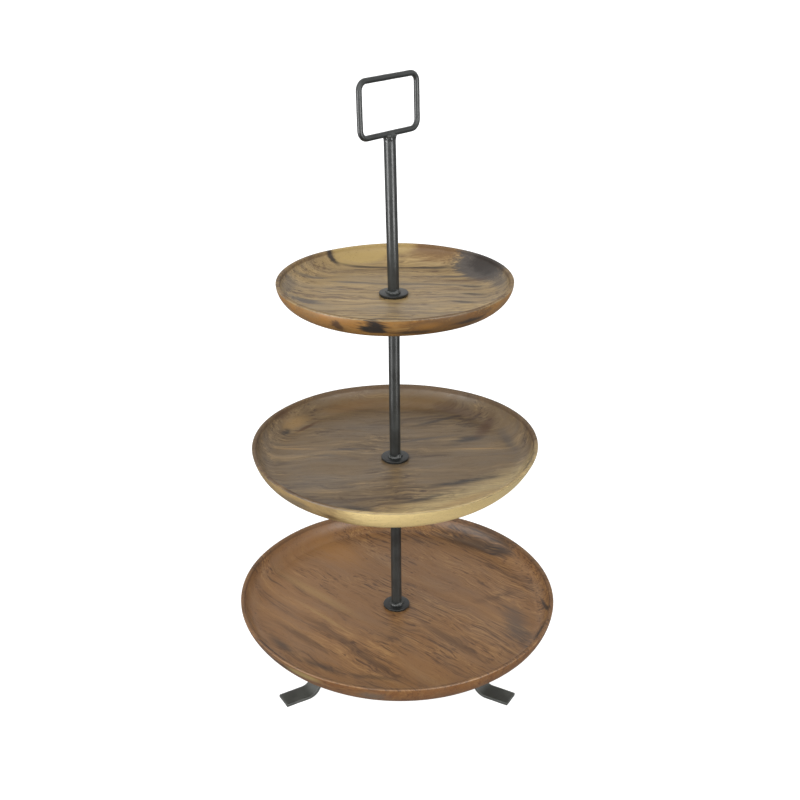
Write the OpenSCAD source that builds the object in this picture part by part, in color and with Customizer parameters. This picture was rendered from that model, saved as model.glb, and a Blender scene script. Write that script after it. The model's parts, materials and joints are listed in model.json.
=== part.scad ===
// Three-tier cake stand: three turned wooden trays on a round steel post that unscrews into
// sections, a rectangular rod handle on top and three bent strap legs below.
// The origin is on the ground under the post. +Z is up and -Y is the front.

/* [Trays] */
// Outside diameter of the bottom tray
bottom_tray_d = 300; // [250:1:370]
// Outside diameter of the middle tray
middle_tray_d = 260; // [200:1:330]
// Outside diameter of the top tray
top_tray_d = 203; // [150:1:260]
// Height of the bottom tray
bottom_tray_h = 25; // [20:0.5:36]
// Height of the middle tray
middle_tray_h = 24; // [19:0.5:36]
// Height of the top tray
top_tray_h = 21; // [17:0.5:32]
// Thickness of the bottom tray's floor
bottom_floor_t = 7; // [5:0.5:10]
// Thickness of the middle tray's floor
middle_floor_t = 6.5; // [5:0.5:10]
// Thickness of the top tray's floor
top_floor_t = 6; // [4:0.5:9]
// How far each tray's foot circle lies inside its rim
foot_inset = 25; // [15:1:35]
// Width of the curve between floor and rim inside the bottom tray
bottom_cove_w = 15; // [8:1:30]
// Width of the curve between floor and rim inside the middle tray
middle_cove_w = 18; // [8:1:35]
// Width of the curve between floor and rim inside the top tray
top_cove_w = 28; // [8:1:40]
// Width of the rims
rim_w = 3.6; // [3:0.1:6]
// Radius of the rims' two rounded edges
rim_edge_r = 1.3; // [0.4:0.1:1.4]

/* [Base] */
// Height of the bottom tray's underside above the ground
base_h = 59.5; // [45:0.5:90]
// Distance from the post's axis to the tip of a foot
foot_reach = 125; // [105:1:145]
// Length of the flat part of a foot
toe_l = 23; // [15:1:30]
// Width of the legs' strap
strap_w = 18; // [12:0.5:25]
// Thickness of the legs' strap
strap_t = 3; // [2:0.25:4]
// Slope of the legs' sloping part, in degrees
leg_slope = 58; // [50:1:70]
// Bend radius at a leg's foot, on the middle of the strap
foot_bend_r = 12; // [8:1:18]
// Bend radius at a leg's top, on the middle of the strap
top_bend_r = 14; // [8:1:18]
// Diameter of the plate that the legs are welded to
hub_d = 56; // [45:1:70]
// Thickness of that plate
hub_t = 3; // [2:0.25:5]
// Width across the flats of the long nut under the plate
nut_flats = 10; // [9:0.5:14]
// Length of the long nut
nut_l = 14; // [11:0.5:24]

/* [Post] */
// Diameter of the post
post_d = 9.5; // [9:0.1:14]
// Length of the lower post
lower_post_l = 150; // [110:1:200]
// Length of the middle post
middle_post_l = 148; // [110:1:200]
// Length of the upper post
upper_post_l = 133.5; // [90:0.5:190]
// Diameter of the flange welded to each post's foot
flange_d = 25.4; // [21:0.1:34]
// Thickness of that flange
flange_t = 2; // [1.5:0.1:3]
// Diameter of the washer that carries the middle and top trays
support_d = 25.4; // [21:0.1:34]
// Thickness of that washer
support_t = 2; // [1.5:0.1:3]
// Diameter of the rubber washer under each flange
pad_d = 24; // [20:0.1:32]
// Thickness of the rubber washer
pad_t = 0.8; // [0.5:0.1:1.5]
// Outside diameter of the studs' thread
stud_d = 6; // [5:0.5:6]
// Length of a stud inside its own post
stud_grip_l = 12; // [8:0.5:18]
// Length of thread screwed into the part below
thread_l = 10; // [7:0.5:12]

/* [Handle] */
// Width of the handle, between the middles of its upright rods
handle_w = 66; // [50:1:90]
// Height of the handle, between the middles of its level rods
handle_h = 45; // [30:1:70]
// Diameter of the handle's rod
handle_rod_d = 4.8; // [4:0.1:6]
// Bend radius of the handle's corners, on the middle of the rod
handle_bend_r = 7.2; // [5:0.1:12]
// Turn of the handle about the post, in degrees from facing the front
handle_turn = 45; // [0:5:90]

/* [Welds] */
// Width and height of the weld around each post's foot
post_weld_w = 2.2; // [1:0.1:3]
// Width and height of the welds between the legs and their plate
leg_weld_w = 2.4; // [1:0.1:2.6]
// How far the handle's weld stands out past the post
handle_weld_w = 1.6; // [0.8:0.1:3]

/* [Clearances] */
// Gap all round between a stud and its thread
thread_gap = 0.05; // [0.02:0.01:0.1]
// Gap all round between a stud and the washers that it passes through
washer_gap = 0.4; // [0.25:0.05:0.8]
// Gap all round between a stud and a tray's hole
tray_gap = 0.5; // [0.3:0.05:1]
// Gap between a weld and the round part that it runs along
weld_gap = 0.02; // [0.01:0.01:0.05]
// Unthreaded depth at the bottom of a threaded hole
bore_spare = 3; // [1:0.5:5]

/* [Hidden] */

IRON = "#3a3c3b";
ZINC = "#b4b6b2";
RUBBER = "#1d1d1d";
WOOD_TOP = "#9a7b55";
WOOD_MIDDLE = "#7d6248";
WOOD_BOTTOM = "#8a6748";

round_fn = 96;
curve_steps = 12;
edge_steps = 4;

post_r = post_d / 2;
stud_r = stud_d / 2;
thread_r = stud_r + thread_gap;
washer_hole_r = stud_r + washer_gap;
tray_hole_r = stud_r + tray_gap;
thread_bore_l = thread_l + bore_spare;

// Compass directions of the three legs
left_leg_angle = 210;
right_leg_angle = 330;
back_leg_angle = 90;

// Heights of the three stacks: tray, rubber washer, flange, post and support washer
clamp_t = pad_t + flange_t;
bottom_z = base_h;
lower_post_z = bottom_z + bottom_floor_t + clamp_t;
middle_z = lower_post_z + lower_post_l + support_t;
middle_post_z = middle_z + middle_floor_t + clamp_t;
top_z = middle_post_z + middle_post_l + support_t;
upper_post_z = top_z + top_floor_t + clamp_t;
handle_z = upper_post_z + upper_post_l + handle_rod_d / 2;

// Underside of the plate, and the straps' path from the foot to the plate
plate_z = base_h - hub_t;
strap_rise = plate_z - strap_t;
bend_sum = foot_bend_r + top_bend_r;
slope_l = (strap_rise - bend_sum * (1 - cos(leg_slope))) / sin(leg_slope);
heel_x = foot_reach - toe_l;
slope_x = heel_x - foot_bend_r * sin(leg_slope);
knee_x = slope_x - slope_l * cos(leg_slope);
shoulder_x = knee_x - top_bend_r * sin(leg_slope);
nut_corner_r = nut_flats / 2 / cos(30);
leg_weld_angle = 2 * asin(strap_w / 2 / (hub_d / 2 + leg_weld_w));
// The straps' inner ends stop short of one another and of the nut's weld
strap_end_x = max(strap_w / 2 / tan(60), nut_corner_r + post_weld_w) + 2;

// Points of an arc of an ellipse, leaving out the first where it joins an earlier point
function arc(centre, rx, rz, from, to, steps, first = 1) = [
    for (i = [first:steps])
        let (a = from + (to - from) * i / steps)
            [centre.x + rx * cos(a), centre.y + rz * sin(a)]
];

// Outline of a tray's section, from the hole out under the foot, over the rim and back
function tray_outline(d, h, floor_t, cove_w) =
    let (
        r = d / 2,
        edge_z = h - rim_edge_r,
        rim_in = r - rim_w
    )
    concat(
        [[tray_hole_r, 0]],
        arc([r - foot_inset, edge_z], foot_inset, edge_z, -90, 0, curve_steps, 0),
        arc([r - rim_edge_r, edge_z], rim_edge_r, rim_edge_r, 0, 90, edge_steps),
        arc([rim_in + rim_edge_r, edge_z], rim_edge_r, rim_edge_r, 90, 180, edge_steps, 0),
        arc([rim_in - cove_w, edge_z], cove_w, edge_z - floor_t, 0, -90, curve_steps),
        [[tray_hole_r, floor_t]]
    );

// Outline of a leg seen from the side: the strap's lower face out to the toe, then its upper
// face back
function strap_outline() =
    let (
        outer_foot = foot_bend_r + strap_t / 2,
        inner_foot = foot_bend_r - strap_t / 2,
        outer_top = top_bend_r + strap_t / 2,
        inner_top = top_bend_r - strap_t / 2,
        foot_centre = [heel_x, strap_t / 2 + foot_bend_r],
        top_centre = [shoulder_x, plate_z - strap_t / 2 - top_bend_r]
    )
    concat(
        [[strap_end_x, plate_z - strap_t]],
        arc(top_centre, inner_top, inner_top, 90, 90 - leg_slope, curve_steps, 0),
        arc(foot_centre, outer_foot, outer_foot, 270 - leg_slope, 270, curve_steps, 0),
        [[foot_reach, 0], [foot_reach, strap_t]],
        arc(foot_centre, inner_foot, inner_foot, 270, 270 - leg_slope, curve_steps, 0),
        arc(top_centre, outer_top, outer_top, 90 - leg_slope, 90, curve_steps, 0),
        [[strap_end_x, plate_z]]
    );

// A flat ring standing on z = 0
module ring(outer_r, hole_r, height) {
    difference() {
        cylinder(r = outer_r, h = height, $fn = round_fn);
        translate([0, 0, -1])
            cylinder(r = hole_r, h = height + 2, $fn = round_fn);
    }
}

// A weld bead around a round part, standing on z = 0
module bead(inner_r, size) {
    rotate_extrude($fn = round_fn)
        polygon([
            [inner_r, 0],
            [inner_r + size, 0],
            [inner_r + size * 0.8, size * 0.45],
            [inner_r + size * 0.45, size * 0.8],
            [inner_r, size],
        ]);
}

module tray(z, d, h, floor_t, cove_w) {
    translate([0, 0, z])
        rotate_extrude($fn = round_fn)
            polygon(tray_outline(d, h, floor_t, cove_w));
}

module leg(angle) {
    rotate([0, 0, angle])
        rotate([90, 0, 0])
            translate([0, 0, -strap_w / 2])
                linear_extrude(strap_w)
                    polygon(strap_outline());
}

// A post with the stud's hole in its foot and, if it carries a tray, a threaded hole on top
module post(z, length, top_hole) {
    difference() {
        translate([0, 0, z])
            cylinder(r = post_r, h = length, $fn = round_fn);
        translate([0, 0, z - 1])
            cylinder(r = thread_r, h = stud_grip_l + 1, $fn = round_fn);
        if (top_hole)
            translate([0, 0, z + length - thread_bore_l])
                cylinder(r = thread_r, h = thread_bore_l + 1, $fn = round_fn);
    }
}

// A stud held in the foot of the post at post_z, reaching down through floor_t of wood and
// under_t of steel into the thread below
module stud(post_z, floor_t, under_t) {
    below = clamp_t + floor_t + under_t + thread_l;
    translate([0, 0, post_z - below])
        cylinder(r = stud_r, h = below + stud_grip_l, $fn = round_fn);
}

module flange(post_z) {
    translate([0, 0, post_z - flange_t])
        ring(flange_d / 2, washer_hole_r, flange_t);
}

module flange_weld(post_z) {
    translate([0, 0, post_z])
        bead(post_r + weld_gap, post_weld_w);
}

module rubber_washer(floor_top_z) {
    translate([0, 0, floor_top_z])
        ring(pad_d / 2, washer_hole_r, pad_t);
}

module support_washer(tray_z) {
    translate([0, 0, tray_z - support_t])
        ring(support_d / 2, washer_hole_r, support_t);
}

module leg_left() color(IRON) leg(left_leg_angle);
module leg_right() color(IRON) leg(right_leg_angle);
module leg_back() color(IRON) leg(back_leg_angle);

module hub_plate() {
    color(IRON)
        translate([0, 0, plate_z])
            ring(hub_d / 2, washer_hole_r, hub_t);
}

module hub_nut() {
    color(IRON)
        translate([0, 0, plate_z - nut_l])
            difference() {
                cylinder(r = nut_corner_r, h = nut_l, $fn = 6);
                translate([0, 0, -1])
                    cylinder(r = thread_r, h = nut_l + 2, $fn = round_fn);
            }
}

// Welds along the plate's edge on top of each strap, and one round the nut
module base_welds() {
    weld_r = hub_d / 2 + weld_gap;
    color(IRON) {
        for (angle = [left_leg_angle, right_leg_angle, back_leg_angle])
            translate([0, 0, plate_z])
                rotate([0, 0, angle - leg_weld_angle / 2])
                    rotate_extrude(angle = leg_weld_angle, $fn = round_fn)
                        polygon([[weld_r, 0], [weld_r + leg_weld_w, 0], [weld_r, leg_weld_w]]);
        translate([0, 0, plate_z])
            mirror([0, 0, 1])
                bead(nut_corner_r + weld_gap, post_weld_w);
    }
}

module bottom_tray() {
    color(WOOD_BOTTOM)
        tray(bottom_z, bottom_tray_d, bottom_tray_h, bottom_floor_t, bottom_cove_w);
}

module middle_tray() {
    color(WOOD_MIDDLE)
        tray(middle_z, middle_tray_d, middle_tray_h, middle_floor_t, middle_cove_w);
}

module top_tray() {
    color(WOOD_TOP)
        tray(top_z, top_tray_d, top_tray_h, top_floor_t, top_cove_w);
}

module bottom_rubber_washer() color(RUBBER) rubber_washer(bottom_z + bottom_floor_t);
module middle_rubber_washer() color(RUBBER) rubber_washer(middle_z + middle_floor_t);
module top_rubber_washer() color(RUBBER) rubber_washer(top_z + top_floor_t);

module lower_stud() color(ZINC) stud(lower_post_z, bottom_floor_t, hub_t);
module middle_stud() color(ZINC) stud(middle_post_z, middle_floor_t, support_t);
module upper_stud() color(ZINC) stud(upper_post_z, top_floor_t, support_t);

module lower_flange() color(IRON) flange(lower_post_z);
module middle_flange() color(IRON) flange(middle_post_z);
module upper_flange() color(IRON) flange(upper_post_z);

module lower_flange_weld() color(IRON) flange_weld(lower_post_z);
module middle_flange_weld() color(IRON) flange_weld(middle_post_z);
module upper_flange_weld() color(IRON) flange_weld(upper_post_z);

module lower_post() color(IRON) post(lower_post_z, lower_post_l, true);
module middle_post() color(IRON) post(middle_post_z, middle_post_l, true);
module upper_post() color(IRON) post(upper_post_z, upper_post_l, false);

module middle_support_washer() color(IRON) support_washer(middle_z);
module top_support_washer() color(IRON) support_washer(top_z);

// A straight rod lying along X, centred
module level_rod(length) {
    rotate([0, 90, 0])
        translate([0, 0, -length / 2])
            cylinder(d = handle_rod_d, h = length, $fn = round_fn);
}

// One closed loop of round rod, standing on its lower rod
module handle_loop() {
    level_l = handle_w - 2 * handle_bend_r;
    upright_l = handle_h - 2 * handle_bend_r;
    color(IRON)
        translate([0, 0, handle_z])
            rotate([0, 0, handle_turn]) {
                for (z = [0, handle_h])
                    translate([0, 0, z])
                        level_rod(level_l);
                for (side = [0, 1])
                    mirror([side, 0, 0]) {
                        translate([handle_w / 2, 0, handle_bend_r])
                            cylinder(d = handle_rod_d, h = upright_l, $fn = round_fn);
                        translate([level_l / 2, 0, handle_bend_r])
                            rotate([90, 90, 0])
                                handle_corner();
                        translate([level_l / 2, 0, handle_h - handle_bend_r])
                            rotate([90, 0, 0])
                                handle_corner();
                    }
            }
}

module handle_corner() {
    rotate_extrude(angle = 90, $fn = round_fn)
        translate([handle_bend_r, 0])
            circle(d = handle_rod_d, $fn = round_fn);
}

// The weld between the post's top and the handle's lower rod, hollowed where they pass
module handle_weld() {
    seam_z = upper_post_z + upper_post_l;
    weld_r = post_r + handle_weld_w;
    color(IRON)
        difference() {
            translate([0, 0, seam_z])
                rotate_extrude($fn = round_fn)
                    polygon([
                        [0, -handle_weld_w],
                        [post_r + handle_weld_w * 0.3, -handle_weld_w],
                        [weld_r, 0],
                        [weld_r - handle_weld_w * 0.6, handle_rod_d * 0.4],
                        [post_r * 0.6, handle_rod_d * 0.8],
                        [0, handle_rod_d * 0.8],
                    ]);
            translate([0, 0, seam_z - handle_weld_w - 1])
                cylinder(r = post_r + weld_gap, h = handle_weld_w + 1, $fn = round_fn);
            translate([0, 0, handle_z])
                rotate([0, 90, handle_turn])
                    cylinder(d = handle_rod_d + 2 * weld_gap, h = handle_w, center = true, $fn = round_fn);
        }
}

leg_left();
leg_right();
leg_back();
hub_plate();
hub_nut();
base_welds();
bottom_tray();
bottom_rubber_washer();
lower_stud();
lower_flange();
lower_flange_weld();
lower_post();
middle_support_washer();
middle_tray();
middle_rubber_washer();
middle_stud();
middle_flange();
middle_flange_weld();
middle_post();
top_support_washer();
top_tray();
top_rubber_washer();
upper_stud();
upper_flange();
upper_flange_weld();
upper_post();
handle_loop();
handle_weld();
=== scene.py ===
"""Looks of a three-tier cake stand: turned acacia trays on a black powder-coated iron post.

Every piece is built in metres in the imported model's own frame. The stand is unscrewed in
sections, so each piece rides on the section, tray or washer that it belongs to.
"""

import json
import logging
import math
from dataclasses import dataclass
from enum import Enum
from typing import Callable, Iterable, Mapping, Optional, Sequence, Union

import bmesh
import bpy
from mathutils import Matrix, Vector, noise


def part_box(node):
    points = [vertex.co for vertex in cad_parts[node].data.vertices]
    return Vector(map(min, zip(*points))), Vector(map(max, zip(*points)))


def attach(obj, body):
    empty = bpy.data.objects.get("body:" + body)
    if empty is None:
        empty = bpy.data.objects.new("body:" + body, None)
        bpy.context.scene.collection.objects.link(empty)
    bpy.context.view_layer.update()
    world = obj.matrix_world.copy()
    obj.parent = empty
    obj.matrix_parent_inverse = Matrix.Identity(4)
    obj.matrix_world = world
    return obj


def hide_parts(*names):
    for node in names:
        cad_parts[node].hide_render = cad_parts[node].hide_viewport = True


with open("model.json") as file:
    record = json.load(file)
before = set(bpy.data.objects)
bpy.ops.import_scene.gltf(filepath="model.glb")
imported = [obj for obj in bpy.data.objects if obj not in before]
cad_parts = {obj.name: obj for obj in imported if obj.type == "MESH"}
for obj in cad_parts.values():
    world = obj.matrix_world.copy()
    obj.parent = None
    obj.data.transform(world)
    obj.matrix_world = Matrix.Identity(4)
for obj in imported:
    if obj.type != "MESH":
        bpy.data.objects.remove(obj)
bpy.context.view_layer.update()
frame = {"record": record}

MM = 0.001
FULL_TURN = math.tau
BODY_OF = {
    node: body for body, nodes in frame["record"]["behaviour"]["bodies"].items() for node in nodes
}

log = logging.getLogger("cake_stand")

Colour = tuple[float, float, float, float]
Point = tuple[float, float]
Socket = bpy.types.NodeSocket
Tree = bpy.types.NodeTree
Value = Union[float, Socket]


# ------------------------------------------------------------------ colours and nodes

# Options that many nodes share: a ramp with soft ends, a mixture of colours, and
# coordinates inside a frame that is placed, turned and sized
SOFT = {"interpolation_type": "SMOOTHSTEP"}
COLOURS = {"data_type": "RGBA"}
FRAMED = {"vector_type": "TEXTURE"}
# The place or turn of a frame that stays where it is
STILL = (0.0, 0.0, 0.0)
# The Bump node's usual filter
FILTER_WIDTH = 0.1


def linear(hex_colour: str) -> Colour:
    """Turns an sRGB hex colour into the linear colour that a socket takes.

    Args:
        hex_colour: Six hex digits.

    Returns:
        Linear red, green and blue, with an alpha of 1.
    """
    channels = [int(hex_colour[i:i + 2], 16) / 255 for i in (0, 2, 4)]
    red, green, blue = [
        c / 12.92 if c <= 0.04045 else ((c + 0.055) / 1.055) ** 2.4 for c in channels
    ]
    return (red, green, blue, 1.0)


def add_node(
    tree: Tree, kind: str, *inputs: object, out: Optional[str] = None, **settings: object
) -> Socket:
    """Adds a node, sets its options, fills its inputs and gives one of its outputs.

    Args:
        tree: The node tree that gets the node.
        kind: The node's type, without the ShaderNode in front.
        *inputs: What goes into the inputs that its options leave live, in their order. A
            socket is linked, and anything else is a value.
        out: The name of the output, or None for the first live one.
        **settings: The node's options, such as operation.

    Returns:
        The output.
    """
    node = tree.nodes.new(f"ShaderNode{kind}")
    for name, value in settings.items():
        setattr(node, name, value)
    for socket, value in zip([socket for socket in node.inputs if socket.enabled], inputs):
        if isinstance(value, Socket):
            tree.links.new(value, socket)
        else:
            socket.default_value = value
    return node.outputs[out] if out else next(socket for socket in node.outputs if socket.enabled)


def grains(tree: Tree, vector: Socket, size: object, detail: float = 2.0) -> Socket:
    """Adds noise whose features have a size in the vector's own units.

    Args:
        tree: The node tree.
        vector: The coordinates.
        size: One size, or three along the axes.
        detail: How many finer layers there are.

    Returns:
        The noise's value, which is mostly between 0.3 and 0.7.
    """
    sizes = (size,) * 3 if isinstance(size, (int, float)) else size
    scaled = add_node(tree, "Mapping", vector, STILL, STILL, sizes, **FRAMED)
    return add_node(tree, "TexNoise", scaled, 1.0, detail, 0.55, noise_dimensions="3D")


def millimetres(tree: Tree, base_z: float = 0.0) -> Socket:
    """Gives a point's place in millimetres, with heights counted from base_z in metres."""
    spot = add_node(tree, "TexCoord", out="Object")
    return add_node(tree, "Mapping", spot, (0.0, 0.0, base_z), STILL, (MM, MM, MM), **FRAMED)


def new_finish(name: str) -> tuple[bpy.types.Material, Tree, bpy.types.Node]:
    """Makes an empty node material and returns it with its tree and its shader."""
    material = bpy.data.materials.new(name)
    material.use_nodes = True
    return material, material.node_tree, material.node_tree.nodes["Principled BSDF"]


def wire(
    tree: Tree, shader: bpy.types.Node, colour: Value, rough: Value, height: Value, depth_mm: float
) -> None:
    """Links a finish's colour, roughness and relief to its shader.

    Args:
        tree: The node tree.
        shader: The shader.
        colour: The colour's socket.
        rough: The roughness's socket.
        height: The relief, from about 0 to 1.
        depth_mm: How deep the relief is, in millimetres.
    """
    relief = add_node(tree, "Bump", 1.0, depth_mm * MM, FILTER_WIDTH, height)
    tree.links.new(colour, shader.inputs["Base Color"])
    tree.links.new(rough, shader.inputs["Roughness"])
    tree.links.new(relief, shader.inputs["Normal"])


# ------------------------------------------------------------------ metal and rubber finishes


@dataclass(frozen=True)
class PowderCoat:
    """Satin black powder coat on mild steel: dark and even, with the faint orange peel
    that the powder leaves as it melts, and soft patches where hands have polished it."""

    name: str = "powder_coated_iron"
    colour: str = "252726"
    patch_colour: str = "2f3231"
    roughness: float = 0.36
    patch_rough: float = 0.08
    speckle_rough: float = 0.04
    patch_mm: float = 22.0
    peel_mm: float = 1.7
    peel_depth_mm: float = 0.03
    # The grit's size is set by how it looks, not by a measurement
    grit_mm: float = 0.4
    grit_depth: float = 0.3

    def build(self) -> bpy.types.Material:
        """Makes the material."""
        material, tree, shader = new_finish(self.name)
        spot = millimetres(tree)
        patch = grains(tree, spot, self.patch_mm, 3.0)
        patch = add_node(tree, "MapRange", patch, 0.35, 0.65, **SOFT)
        peel = grains(tree, spot, self.peel_mm)
        grit = grains(tree, spot, self.grit_mm, 1.0)
        colour = add_node(tree, "Mix", patch, linear(self.colour), linear(self.patch_colour), **COLOURS)
        smooth = self.roughness - self.patch_rough / 2
        rough = add_node(tree, "Math", patch, self.patch_rough, smooth, operation="MULTIPLY_ADD")
        low, high = -self.speckle_rough, self.speckle_rough
        speckle = add_node(tree, "MapRange", grit, 0.3, 0.7, low, high, **SOFT)
        rough = add_node(tree, "Math", rough, speckle, operation="ADD")
        height = add_node(tree, "Math", grit, self.grit_depth, peel, operation="MULTIPLY_ADD")
        wire(tree, shader, colour, rough, height, self.peel_depth_mm)
        return material


@dataclass(frozen=True)
class WeldCoat:
    """Powder coat over a weld bead: it runs thick in the ripples, so it shines more, and
    the bead's high spots catch the light, which is painted on as a lighter colour on their crests."""

    name: str = "powder_coated_weld"
    colour: str = "262827"
    painted_highlight_colour: str = "414443"
    roughness: float = 0.24
    crest_rough: float = 0.14
    lump_mm: float = 1.1
    lump_depth_mm: float = 0.15

    def build(self) -> bpy.types.Material:
        """Makes the material."""
        material, tree, shader = new_finish(self.name)
        lump = grains(tree, millimetres(tree), self.lump_mm, 3.0)
        crest = add_node(tree, "MapRange", lump, 0.4, 0.65, **SOFT)
        # Painted highlight: the crests of the lumps get a lighter colour
        colour = add_node(tree, "Mix", crest, linear(self.colour), linear(self.painted_highlight_colour), **COLOURS)
        rough = add_node(
            tree, "Math", crest, self.crest_rough, self.roughness, operation="MULTIPLY_ADD"
        )
        wire(tree, shader, colour, rough, lump, self.lump_depth_mm)
        return material


@dataclass(frozen=True)
class ZincPlate:
    """Bright zinc plate on a rolled thread: a warm grey metal, rubbed round the thread
    where it is screwed, and dulled in patches."""

    name: str = "zinc_plated_thread"
    colour: str = "b7b8b1"
    dull_colour: str = "8d8a7c"
    roughness: float = 0.2
    rub_rough: float = 0.14
    dull_rough: float = 0.15
    patch_mm: float = 3.0
    rub_mm: float = 0.3
    rub_depth_mm: float = 0.01

    def build(self) -> bpy.types.Material:
        """Makes the material."""
        material, tree, shader = new_finish(self.name)
        spot = millimetres(tree)
        patch = grains(tree, spot, self.patch_mm, 4.0)
        patch = add_node(tree, "MapRange", patch, 0.4, 0.65, **SOFT)
        rub = grains(tree, spot, (6.0, 6.0, self.rub_mm))
        colour = add_node(tree, "Mix", patch, linear(self.colour), linear(self.dull_colour), **COLOURS)
        rubbed = self.roughness + self.rub_rough
        rough = add_node(tree, "MapRange", rub, 0.3, 0.7, self.roughness, rubbed, **SOFT)
        rough = add_node(tree, "Math", patch, self.dull_rough, rough, operation="MULTIPLY_ADD")
        wire(tree, shader, colour, rough, rub, self.rub_depth_mm)
        shader.inputs["Metallic"].default_value = 1.0
        return material


@dataclass(frozen=True)
class NitrileRubber:
    """Moulded nitrile rubber: matt black with a grey bloom and a fine mould grain."""

    name: str = "nitrile_rubber"
    colour: str = "181818"
    bloom_colour: str = "2c2b29"
    roughness: float = 0.62
    bloom_rough: float = 0.15
    bloom_mm: float = 5.0
    grain_mm: float = 0.5
    grain_depth_mm: float = 0.03

    def build(self) -> bpy.types.Material:
        """Makes the material."""
        material, tree, shader = new_finish(self.name)
        spot = millimetres(tree)
        bloom = grains(tree, spot, self.bloom_mm, 4.0)
        bloom = add_node(tree, "MapRange", bloom, 0.45, 0.7, **SOFT)
        grain = grains(tree, spot, self.grain_mm)
        colour = add_node(tree, "Mix", bloom, linear(self.colour), linear(self.bloom_colour), **COLOURS)
        rough = add_node(
            tree, "Math", bloom, self.bloom_rough, self.roughness, operation="MULTIPLY_ADD"
        )
        wire(tree, shader, colour, rough, grain, self.grain_depth_mm)
        return material


# ------------------------------------------------------------------ wood finish


class Tone(Enum):
    """The colours that one acacia board shows beside its ground colour."""

    INK = "2b241f"
    SLATE = "4b443e"
    SMOKE = "6b6257"
    UMBER = "4f3620"
    RUST = "7a5a30"
    SIENNA = "7d4f26"
    HONEY = "a47335"
    DRAB = "ad905e"
    TAN = "a0804f"
    STRAW = "a68e58"
    CREAM = "edd394"


@dataclass(frozen=True)
class Mark:
    """One patch or streak of a tray's figure, or a patch of painted shade: an ellipse in the tray's plan,
    in millimetres.

    Long and wide are half its length and width, and turn is in degrees. It keeps its full
    strength out to core, and its edge is ragged along the grain. It reaches through the
    whole board, unless deep keeps it near the height z.
    """

    tone: Tone
    x: float
    y: float
    long: float
    wide: float
    turn: float = 0.0
    strength: float = 0.7
    core: float = 0.25
    ragged: float = 0.6
    z: float = 10.0
    deep: float = 400.0


def on_wall(
    tone: Tone, radius: float, azimuth: float, z: float, long: float, tall: float, **more: float
) -> Mark:
    """Gives a mark on a tray's outer wall.

    Args:
        tone: Its colour.
        radius: The tray's radius, in millimetres.
        azimuth: Its direction from the post, in degrees from the front towards the right.
        z: Its height over the tray's underside.
        long: Half its length round the wall.
        tall: Half its height.
        **more: The mark's other values.

    Returns:
        The mark.
    """
    angle = math.radians(azimuth)
    reach = radius - 4.0
    return Mark(
        tone, reach * math.sin(angle), -reach * math.cos(angle), long, 13.0, azimuth,
        z=z, deep=tall, **more,
    )


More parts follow.
